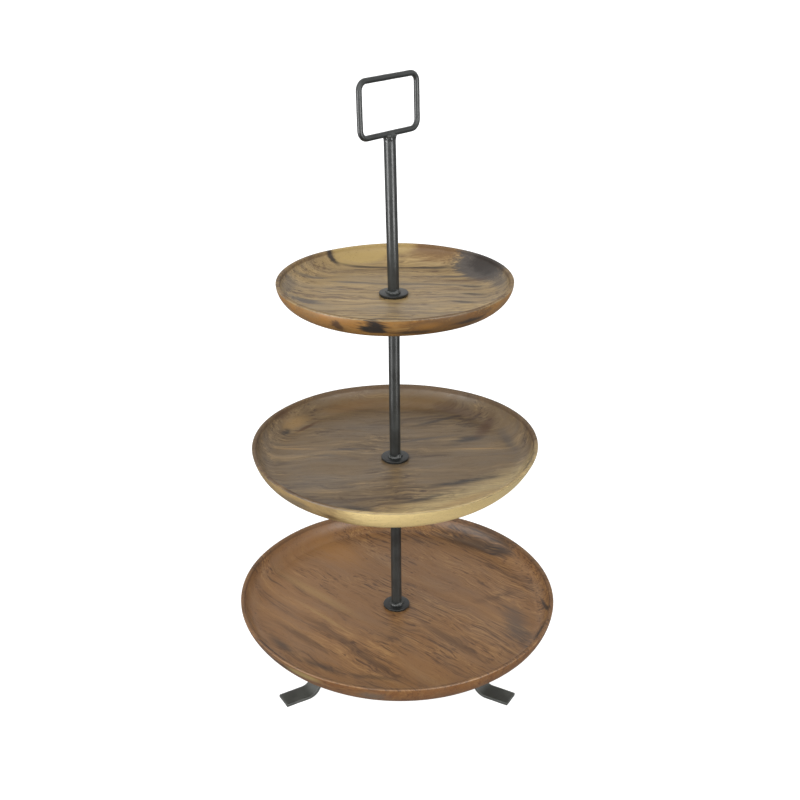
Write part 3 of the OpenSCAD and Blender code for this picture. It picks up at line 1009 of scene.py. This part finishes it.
@dataclass
class LegFrame:
    """Three bent strap legs welded to a round plate, with a long nut under it."""

    iron: bpy.types.Material
    weld: bpy.types.Material
    reach: float = 125 * MM
    toe_l: float = 23 * MM
    strap_w: float = 18 * MM
    strap_t: float = 3 * MM
    slope: float = 58.0
    foot_bend_r: float = 12 * MM
    top_bend_r: float = 14 * MM
    leg_weld_w: float = 2.4 * MM
    bore_r: float = 3.05 * MM
    bend_steps: int = 12

    ANGLES = {"leg_left": 210.0, "leg_right": 330.0, "leg_back": 90.0}

    def build(self) -> None:
        """Makes the base's pieces."""
        self.plate_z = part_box("hub_plate")[0].z
        self.plate_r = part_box("hub_plate")[1].x
        for seed, (node, angle) in enumerate(self.ANGLES.items()):
            finish_piece(self.leg(angle, float(seed)), f"{node}_strap", node, self.iron)
        finish_piece(flat_ring("hub_plate", 3.4 * MM, 0.5 * MM), "hub_plate_disc", "hub_plate", self.iron)
        finish_piece(self.nut(), "hub_nut_hex", "hub_nut", self.iron)
        finish_piece(self.welds(), "base_weld_beads", "base_welds", self.weld)

    def leg(self, angle: float, seed: float) -> bmesh.types.BMesh:
        """Bends one leg from flat strap, from the toe in to the plate."""
        bm = bmesh.new()
        half = self.strap_t / 2
        bmesh.ops.create_grid(bm, x_segments=1, y_segments=6, size=0.5)
        bmesh.ops.scale(bm, verts=bm.verts, vec=(self.strap_t, self.strap_w, 1.0))
        turn_about(bm, -90, "Y")
        bmesh.ops.dissolve_faces(bm, faces=bm.faces)
        bmesh.ops.translate(bm, verts=bm.verts, vec=(self.reach, 0.0, half))
        face = bm.faces[:][0]
        heel = self.reach - self.toe_l
        axis = Vector((0.0, 1.0, 0.0))
        slope = math.radians(self.slope)
        rise = self.plate_z - self.strap_t
        bends = self.foot_bend_r + self.top_bend_r
        slope_l = (rise - bends * (1 - math.cos(slope))) / math.sin(slope)
        shoulder = heel - bends * math.sin(slope) - slope_l * math.cos(slope)
        face = pull(bm, face, Vector((-self.toe_l, 0.0, 0.0)), 8)
        face = swing(
            bm, face, Vector((heel, 0.0, half + self.foot_bend_r)), axis, self.slope, self.bend_steps
        )
        face = pull(bm, face, Vector((-math.cos(slope), 0.0, math.sin(slope))) * slope_l, 10)
        face = swing(
            bm, face, Vector((shoulder, 0.0, self.plate_z - half - self.top_bend_r)), axis,
            -self.slope, self.bend_steps,
        )
        face = pull(bm, face, Vector((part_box("leg_back")[0].y - shoulder, 0.0, 0.0)), 6)
        bmesh.ops.recalc_face_normals(bm, faces=bm.faces)
        round_edges(bm, 0.55 * MM, over=60.0)
        roughen(bm, 12 * MM, 0.22 * MM, seed * 5.0)
        for vertex in bm.verts:
            vertex.co.z = max(vertex.co.z, 0.0)
        turn_about(bm, angle, "Z")
        return bm

    def nut(self) -> bmesh.types.BMesh:
        """Turns the long nut with chamfered ends, then mills its six flats."""
        low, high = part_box("hub_nut")
        corner = max(high.x, high.y)
        flat = corner * math.cos(math.radians(30))
        chamfer = corner - flat
        drop = chamfer * math.tan(math.radians(30))
        bm = lathe(
            [
                (self.bore_r + 0.4 * MM, low.z), (flat, low.z), (corner, low.z + drop),
                (corner, high.z - drop), (flat, high.z), (self.bore_r + 0.4 * MM, high.z),
                (self.bore_r, high.z - 0.4 * MM), (self.bore_r, low.z + 0.4 * MM),
            ],
            72,
        )
        for side in range(6):
            angle = math.radians(30 + 60 * side)
            outward = Vector((math.cos(angle), math.sin(angle), 0.0))
            bmesh.ops.bisect_plane(
                bm, geom=bm.verts[:] + bm.edges[:] + bm.faces[:], dist=1e-7,
                plane_co=outward * flat * 0.9999, plane_no=outward, clear_outer=True,
            )
            cut = [edge for edge in bm.edges if edge.is_boundary]
            if cut:
                bmesh.ops.contextual_create(bm, geom=cut)
        bmesh.ops.recalc_face_normals(bm, faces=bm.faces)
        return bm

    def welds(self) -> bmesh.types.BMesh:
        """Lays a bead along the plate's edge on each strap, and one round the nut."""
        bm = bmesh.new()
        sweep = 2 * math.degrees(math.asin(self.strap_w / 2 / (self.plate_r + self.leg_weld_w)))
        for angle in self.ANGLES.values():
            start = math.radians(angle - sweep / 2)
            turned = Matrix.Rotation(start, 3, "Z")
            inner = self.plate_r - 0.3 * MM
            size = (self.leg_weld_w, self.leg_weld_w * 0.95)
            points = [(inner, self.plate_z)] + arc((inner, self.plate_z), size, 0, 90, 6, 0)
            corners = [bm.verts.new(turned @ Vector((r, 0.0, z))) for r, z in points]
            face = bm.faces.new(corners)
            swing(bm, face, Vector((0.0, 0.0, 0.0)), Vector((0.0, 0.0, 1.0)), sweep, 28)
        corner = max(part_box("hub_nut")[1].x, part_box("hub_nut")[1].y)
        bead = min(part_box("base_welds")[1].x - corner, 2.2 * MM)
        ring = [(corner - 0.6 * MM, self.plate_z)]
        ring += arc((corner - 0.6 * MM, self.plate_z), (bead + 0.5 * MM, bead), 0, -90, 8, 0)
        nut_bead = lathe(ring, 96)
        copied = bpy.data.meshes.new("nut_bead")
        nut_bead.to_mesh(copied)
        nut_bead.free()
        bm.from_mesh(copied)
        bpy.data.meshes.remove(copied)
        bmesh.ops.recalc_face_normals(bm, faces=bm.faces)
        roughen(bm, 1.8 * MM, 0.25 * MM, 9.0)
        return bm


# ------------------------------------------------------------------ studio


@dataclass
class Studio:
    """A white floor, soft light from all sides and the camera."""

    focal: float = 52.83
    sensor: float = 36.0
    pitch: float = 24.76
    roll: float = -0.42
    eye: tuple[float, float, float] = (0.0048, -0.9567, 0.7281)
    sky: float = 0.6
    ground: float = 0.25

    def build(self) -> None:
        """Sets up the whole studio."""
        self.camera()
        self.floor()
        self.light()
        view = bpy.context.scene.view_settings
        view.view_transform = "Standard"
        view.look = "None"

    def camera(self) -> None:
        """Sets the camera at its distance, height and tilt."""
        data = bpy.data.cameras.new("camera")
        data.sensor_width = self.sensor
        data.lens = self.focal
        data.clip_end = 100.0
        camera = bpy.data.objects.new("camera", data)
        tilt = Matrix.Rotation(math.radians(90 - self.pitch), 4, "X")
        lean = Matrix.Rotation(math.radians(self.roll), 4, "Z")
        camera.matrix_world = Matrix.Translation(self.eye) @ tilt @ lean
        bpy.context.scene.collection.objects.link(camera)
        bpy.context.scene.camera = camera

    def floor(self) -> None:
        """Lays the white floor: a lit table top, so bright that no shadow shows on it."""
        bm = bmesh.new()
        bmesh.ops.create_grid(bm, x_segments=1, y_segments=1, size=30.0)
        mesh = bpy.data.meshes.new("floor")
        bm.to_mesh(mesh)
        bm.free()
        material, _, shader = new_finish("white_floor")
        shader.inputs["Base Color"].default_value = (0.3, 0.3, 0.3, 1.0)
        shader.inputs["Roughness"].default_value = 1.0
        shader.inputs["Specular IOR Level"].default_value = 0.0
        shader.inputs["Emission Color"].default_value = (1.0, 1.0, 1.0, 1.0)
        shader.inputs["Emission Strength"].default_value = 1.0
        mesh.materials.append(material)
        floor = bpy.data.objects.new("floor", mesh)
        bpy.context.scene.collection.objects.link(floor)
        floor.visible_diffuse = floor.visible_glossy = floor.visible_shadow = False

    def lamp(self, name: str, kind: str, at: Sequence[float], power: float, size: float) -> None:
        """Hangs one lamp that faces the stand.

        Args:
            name: The lamp's name.
            kind: SUN for even light or AREA for a soft box.
            at: Where it hangs.
            power: Its power, in watts, or in watts per square metre for a SUN.
            size: Its width in metres, or its spread in degrees for a SUN.
        """
        data = bpy.data.lights.new(name, kind)
        data.energy = power
        if kind == "SUN":
            data.angle = math.radians(size)
        else:
            data.shape = "RECTANGLE"
            data.size, data.size_y = size, size * 2.0
        lamp = bpy.data.objects.new(name, data)
        aim = Vector((0.0, 0.0, 0.3)) - Vector(at)
        lamp.matrix_world = Matrix.Translation(at) @ aim.to_track_quat("-Z", "Y").to_matrix().to_4x4()
        lamp.visible_diffuse = kind == "SUN"
        bpy.context.scene.collection.objects.link(lamp)

    def light(self) -> None:
        """Sets a pale sky over a dimmer ground, two wide lights and two upright soft boxes."""
        world = bpy.data.worlds.new("studio")
        bpy.context.scene.world = world
        world.use_nodes = True
        tree = world.node_tree
        away = add_node(tree, "TexCoord", out="Object")
        height = add_node(tree, "SeparateXYZ", away, out="Z")
        background = tree.nodes["Background"]
        background.inputs["Color"].default_value = (1.0, 1.0, 1.0, 1.0)
        band = add_node(tree, "MapRange", height, -0.25, 0.0, self.ground, 1.0, **SOFT)
        strength = add_node(
            tree, "Math", band, add_node(tree, "MapRange", height, 0.4, 0.75, 1.0, self.sky, **SOFT),
            operation="MULTIPLY",
        )
        tree.links.new(strength, background.inputs["Strength"])
        self.lamp("overhead", "SUN", (-0.5, 0.3, 2.0), 0.4, 60.0)
        self.lamp("front", "SUN", (-0.3, -1.6, 1.3), 2.28, 80.0)
        self.lamp("left_box", "AREA", (-0.75, -0.49, 0.28), 8.2, 0.28)
        self.lamp("right_box", "AREA", (0.62, -0.64, 0.28), 6.9, 0.26)


# ------------------------------------------------------------------ the three boards


TOP_BOARD = Acacia(
    "oiled_acacia_top", "top_tray", light="a78d5f", middle="8f7850", dark="5f4a33",
    wall=Tone.HONEY, wall_strength=1.0,
    turn=-2.0, pith_y=30.0, pith_z=-60.0, seed=510.0, streak_depth=0.35,
    marks=(
        Mark(Tone.RUST, 40, 92, 50, 16, -22, 0.85),
        Mark(Tone.UMBER, 42, 91, 46, 13, -22, 0.4, 0.1),
        Mark(Tone.STRAW, -30, 90, 38, 13, 18, 0.85, 0.5),
        Mark(Tone.STRAW, 8, 98, 18, 6, 0, 0.8),
        Mark(Tone.INK, -58, 77, 14, 4.5, -35, 0.95, 0.2),
        Mark(Tone.INK, -15, 74, 48, 3.2, -1, 0.85, 0.2, 0.4),
        Mark(Tone.INK, 36, 70, 34, 3.6, -7, 0.85, 0.2, 0.4),
        Mark(Tone.SLATE, 78, 52, 38, 19, -50, 1.0, 0.6),
        Mark(Tone.INK, 84, 48, 32, 11, -52, 0.95, 0.4),
        Mark(Tone.SLATE, 92, 18, 10, 30, 8, 0.7, 0.2),
        Mark(Tone.SLATE, -72, 42, 24, 4.5, 12, 0.75, 0.1),
        Mark(Tone.SLATE, -36, 33, 34, 4.2, -10, 0.85, 0.1),
        Mark(Tone.SLATE, 5, 28, 34, 4.2, -2, 0.75, 0.1),
        Mark(Tone.SLATE, 52, 47, 38, 4.6, -3, 0.75, 0.1),
        Mark(Tone.UMBER, 55, 36, 38, 4.6, -4, 0.7, 0.1),
        Mark(Tone.SLATE, 48, 25, 40, 4.6, -3, 0.7, 0.1),
        Mark(Tone.INK, 68, 20, 16, 4, -8, 0.8, 0.2),
        Mark(Tone.UMBER, 52, 11, 36, 4.0, -3, 0.55, 0.1),
        Mark(Tone.INK, 68, 0, 15, 4, -12, 0.75, 0.2),
        Mark(Tone.INK, 60, -20, 16, 4, -14, 0.7, 0.2),
        Mark(Tone.SLATE, -74, -16, 26, 8, -18, 0.85, 0.2),
        Mark(Tone.SLATE, -92, 8, 8, 30, -8, 0.5, 0.2),
        Mark(Tone.SMOKE, 5, -34, 60, 16, 0, 0.45, 0.1),
        Mark(Tone.INK, -14, -60, 40, 4, 3, 0.65, 0.2),
        on_wall(Tone.UMBER, 101.5, 28, 10, 60, 24, strength=0.6, core=0.5, ragged=1.2),
        on_wall(Tone.INK, 101.5, -9, 14, 15, 9, strength=1.0, core=0.45, ragged=1.2),
        on_wall(Tone.INK, 101.5, 8, 8, 26, 3.2, strength=0.85, core=0.2),
        on_wall(Tone.INK, 101.5, 38, 12, 22, 3.0, strength=0.85, core=0.2),
        on_wall(Tone.UMBER, 101.5, -27, 11, 8, 8, strength=0.9, core=0.3, ragged=1.0),
        on_wall(Tone.HONEY, 101.5, 16, 14, 16, 5, strength=0.6, core=0.2),
    ),
)

MIDDLE_BOARD = Acacia(
    "oiled_acacia_middle", "middle_tray", light="8b724b", middle="6d593d", dark="483828",
    wall=Tone.DRAB, wall_strength=0.95,
    turn=6.0, pith_y=-40.0, pith_z=-70.0, seed=140.0, sway_mm=11.0, streak_depth=0.75, band_depth=0.55,
    sap=Tone.CREAM, sap_turn=-57.0, sap_from=79.0,
    marks=(
        Mark(Tone.RUST, 0, 112, 90, 18, 0, 0.4, 0.1, 1.0),
        Mark(Tone.TAN, -98, 66, 26, 10, 52, 0.6, 0.1, 1.2),
        Mark(Tone.INK, -104, 50, 9, 4, 60, 0.8, 0.2),
        Mark(Tone.UMBER, -86, 64, 24, 3.5, 52, 0.85, 0.2, 0.4),
        Mark(Tone.UMBER, -110, 62, 20, 3.0, 56, 0.7, 0.2, 0.4),
        Mark(Tone.INK, 42, 79, 42, 4.5, 27, 0.75, 0.2),
        Mark(Tone.INK, 70, 36, 24, 9, 20, 0.85, 0.2),
        Mark(Tone.SLATE, 106, 30, 8, 34, 14, 0.6, 0.1),
        Mark(Tone.UMBER, 62, 96, 40, 9, -30, 0.55, 0.1),
        Mark(Tone.RUST, -50, 104, 40, 9, 24, 0.5, 0.1),
        Mark(Tone.UMBER, 86, 58, 30, 9, 68, 0.8, 0.2),
        Mark(Tone.INK, 104, 80, 16, 6, -45, 0.8, 0.2),
        Mark(Tone.TAN, 78, 16, 34, 2.4, 0, 0.7, 0.1, 0.4),
        Mark(Tone.TAN, -92, 18, 34, 2.4, 0, 0.6, 0.1, 0.4),
        Mark(Tone.SLATE, -45, 18, 24, 4, 8, 0.7, 0.1),
        Mark(Tone.SLATE, 25, 38, 48, 3.6, 12, 0.7, 0.1),
        Mark(Tone.SLATE, -70, 5, 34, 3.0, -4, 0.5, 0.1),
        Mark(Tone.INK, 60, -46, 58, 6, 15, 0.85, 0.1),
        Mark(Tone.INK, 28, -74, 40, 5, 22, 0.7, 0.1),
        Mark(Tone.INK, -32, -92, 26, 7, -8, 0.75, 0.1),
        Mark(Tone.SLATE, 118, -38, 6, 26, -20, 0.6, 0.2),
        Mark(Tone.TAN, 55, -84, 58, 9, 32, 0.5, 0.3),
        Mark(Tone.SMOKE, -70, -40, 40, 22, -20, 0.3, 0.1),
        on_wall(Tone.SMOKE, 130, -42, 14, 26, 8, strength=0.5, core=0.1),
        on_wall(Tone.UMBER, 130, -25, 11, 9, 5, strength=0.6, core=0.1),
        on_wall(Tone.INK, 130, -9, 3.5, 10, 2.6, strength=0.95, core=0.4, ragged=0.5),
    ),
)

BOTTOM_BOARD = Acacia(
    "oiled_acacia_bottom", "bottom_tray", light="9f784a", middle="87613a", dark="573c25",
    wall=Tone.SIENNA, wall_strength=0.7,
    turn=-41.0, pith_y=60.0, pith_z=-90.0, seed=30.0, haze_depth=0.15,
    band_depth=0.35,
    marks=(
        Mark(Tone.UMBER, -45, -62, 95, 7, -46, 0.6, 0.1),
        Mark(Tone.UMBER, -88, -52, 60, 6, -42, 0.6, 0.1),
        Mark(Tone.UMBER, -20, -90, 50, 5, -44, 0.65, 0.1),
        Mark(Tone.UMBER, 50, -55, 55, 8, -45, 0.65, 0.1),
        Mark(Tone.TAN, -80, 20, 80, 8, -42, 0.5, 0.1),
        Mark(Tone.TAN, -70, -20, 60, 3, -44, 0.5, 0.1),
        Mark(Tone.INK, 84, 108, 62, 16, -28, 0.7, 0.1, 1.0),
        Mark(Tone.INK, 108, 92, 26, 9, -40, 0.7, 0.1, 1.0),
        Mark(Tone.SLATE, 114, -30, 18, 52, 6, 0.65, 0.0, 0.9),
        Mark(Tone.UMBER, 100, 16, 40, 9, 24, 0.5, 0.0, 0.9),
        Mark(Tone.INK, 144, -12, 1.6, 26, 7, 0.9, 0.3, 0.2),
        Mark(Tone.INK, 134, -50, 4.5, 24, -22, 0.85, 0.2, 0.3),
        Mark(Tone.INK, 119, -76, 4.0, 18, -36, 0.7, 0.2, 0.3),
        Mark(Tone.INK, -106, -64, 36, 6, -47, 0.7, 0.1),
        Mark(Tone.INK, -68, -95, 36, 6, -30, 0.7, 0.1),
        Mark(Tone.INK, -22, -110, 36, 5, -10, 0.5, 0.1),
        # Painted shade: these three dark marks darken the inner edge of the rim at the front left
        Mark(Tone.INK, -103, -103, 36, 3.2, -45, 0.9, 0.3, 0.9, 22, 12),
        Mark(Tone.INK, -72, -125, 36, 3.2, -30, 0.9, 0.3, 0.9, 22, 12),
        Mark(Tone.UMBER, -36, -140, 30, 2.6, -15, 0.6, 0.2, 0.9, 24, 9),
        Mark(Tone.HONEY, -60, 95, 50, 28, -40, 0.45, 0.1),
        on_wall(Tone.STRAW, 150, -34, 19, 26, 6, strength=0.85, core=0.3),
        on_wall(Tone.SMOKE, 150, -8, 14, 20, 9, strength=0.6, core=0.1),
    ),
)


def main() -> None:
    """Builds the studio, then the stand from the floor up."""
    logging.basicConfig(level=logging.INFO, format="%(message)s")
    Studio().build()
    iron, weld = PowderCoat().build(), WeldCoat().build()
    # The base gets a lighter copy of the powder coat: painted light, standing in for the light that the
    # flat straps catch on their upper faces
    strap_iron_painted_light = PowderCoat(
        name="powder_coated_strap_painted_light", colour="464844", patch_colour="52544f", roughness=0.42
    ).build()
    plate = PowderCoat(
        name="powder_coated_flange", colour="141615", patch_colour="1c1e1d", roughness=0.4
    ).build()
    zinc, rubber = ZincPlate().build(), NitrileRubber().build()
    LegFrame(strap_iron_painted_light, weld).build()
    Tray(
        "bottom_tray", BOTTOM_BOARD, 7 * MM, 15 * MM, tilt_x=-0.0146, tilt_y=0.0083, seed=1.0,
        off_x=0.8 * MM, swell=0.004, hollow=2.6 * MM, hollow_azimuth=-32.0,
    ).build()
    build_rubber_washer("bottom", rubber)
    PostSection("lower", iron, plate, weld, zinc, "middle_support_washer").build()
    Tray(
        "middle_tray", MIDDLE_BOARD, 6.5 * MM, 18 * MM, seed=2.0, hollow=5.0 * MM, hollow_azimuth=38.0,
        lift=0.8 * MM, saddle=1.2 * MM,
    ).build()
    build_rubber_washer("middle", rubber)
    PostSection("middle", iron, plate, weld, zinc, "top_support_washer").build()
    Tray(
        "top_tray", TOP_BOARD, 6 * MM, 28 * MM, tilt_x=-0.001, seed=3.0, off_x=1.2 * MM, swell=0.005,
        lift=0.3 * MM, hollow=1.6 * MM, hollow_azimuth=10.0,
    ).build()
    build_rubber_washer("top", rubber)
    lean = 0.0155
    PostSection("upper", iron, plate, weld, zinc, lean=lean).build()
    Handle(iron, weld, lean).build()


if __name__ == "__main__":
    main()
